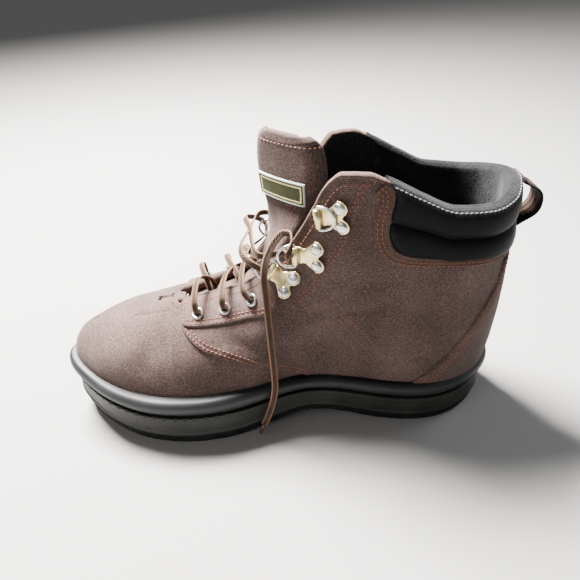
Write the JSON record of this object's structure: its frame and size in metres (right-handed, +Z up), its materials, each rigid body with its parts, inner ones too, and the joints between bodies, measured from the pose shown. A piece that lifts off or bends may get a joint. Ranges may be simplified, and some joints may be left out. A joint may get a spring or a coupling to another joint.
{
  "type": "wading boot",
  "caption": "Lace-up wading boot with woven canvas upper, padded collar cuff, gusseted tongue, eyelets and D rings, rubber foxing band and thick felt sole, for the right foot.",
  "frame": {"origin": "on the floor, under the middle of the heel's tread", "axes": "+X to the toe, +Y to the medial side (the wearer's left), +Z up"},
  "size_m": [0.3341, 0.1222, 0.2081],
  "materials": {
    "canvas": "taupe-brown woven nylon canvas, matt",
    "padding": "black padded knit",
    "rubber": "dark grey moulded rubber, satin",
    "olive_rubber": "olive-grey moulded rubber, matt",
    "felt": "dark pressed felt",
    "webbing": "brown and black striped webbing",
    "label": "olive woven patch, bare",
    "nickel": "pale gold plated steel",
    "lace": "flat braided tan and dark lace"
  },
  "bodies": {
    "boot": {"upper": "canvas", "quarter_medial": "canvas", "quarter_lateral": "canvas", "eyestay_medial": "canvas", "eyestay_lateral": "canvas", "heel_counter": "canvas", "collar_band": "canvas", "collar_cuff": "padding", "rubber_rand": "rubber", "midsole": "olive_rubber", "felt_outsole": "felt", "insole": "padding", "tongue": "canvas", "tongue_label": "label", "pull_loop": "webbing", "eyelet_medial_1": "nickel", "eyelet_medial_2": "nickel", "eyelet_medial_3": "nickel", "ring_plate_medial_low": "nickel", "ring_plate_medial_low_rivet_1": "nickel", "ring_plate_medial_low_rivet_2": "nickel", "d_ring_medial_low": "nickel", "ring_plate_medial_mid": "nickel", "ring_plate_medial_mid_rivet_1": "nickel", "ring_plate_medial_mid_rivet_2": "nickel", "d_ring_medial_mid": "nickel", "ring_plate_medial_top": "nickel", "ring_plate_medial_top_rivet_1": "nickel", "ring_plate_medial_top_rivet_2": "nickel", "eyelet_lateral_1": "nickel", "eyelet_lateral_2": "nickel", "eyelet_lateral_3": "nickel", "ring_plate_lateral_low": "nickel", "ring_plate_lateral_low_rivet_1": "nickel", "ring_plate_lateral_low_rivet_2": "nickel", "d_ring_lateral_low": "nickel", "ring_plate_lateral_mid": "nickel", "ring_plate_lateral_mid_rivet_1": "nickel", "ring_plate_lateral_mid_rivet_2": "nickel", "d_ring_lateral_mid": "nickel", "ring_plate_lateral_top": "nickel", "ring_plate_lateral_top_rivet_1": "nickel", "ring_plate_lateral_top_rivet_2": "nickel", "lace_crossing_1": "lace", "lace_crossing_2": "lace", "lace_crossing_3": "lace", "lace_crossing_4": "lace", "lace_end": "lace", "lace_tip": "lace"},
    "ring_medial": {"d_ring_medial_top": "nickel"},
    "ring_lateral": {"d_ring_lateral_top": "nickel"}
  },
  "joints": [
    {"name": "ring_medial_turn", "type": "hinge", "parent": "boot", "child": "ring_medial", "pos_m": [0.08518, 0.03725, 0.16748], "axis": [-0.1356, 0.0654, -0.9886], "range_deg": [0, 150]},
    {"name": "ring_lateral_turn", "type": "hinge", "parent": "boot", "child": "ring_lateral", "pos_m": [0.08531, -0.03759, 0.16756], "axis": [0.1292, 0.078, 0.9885], "range_deg": [0, 150]}
  ]
}
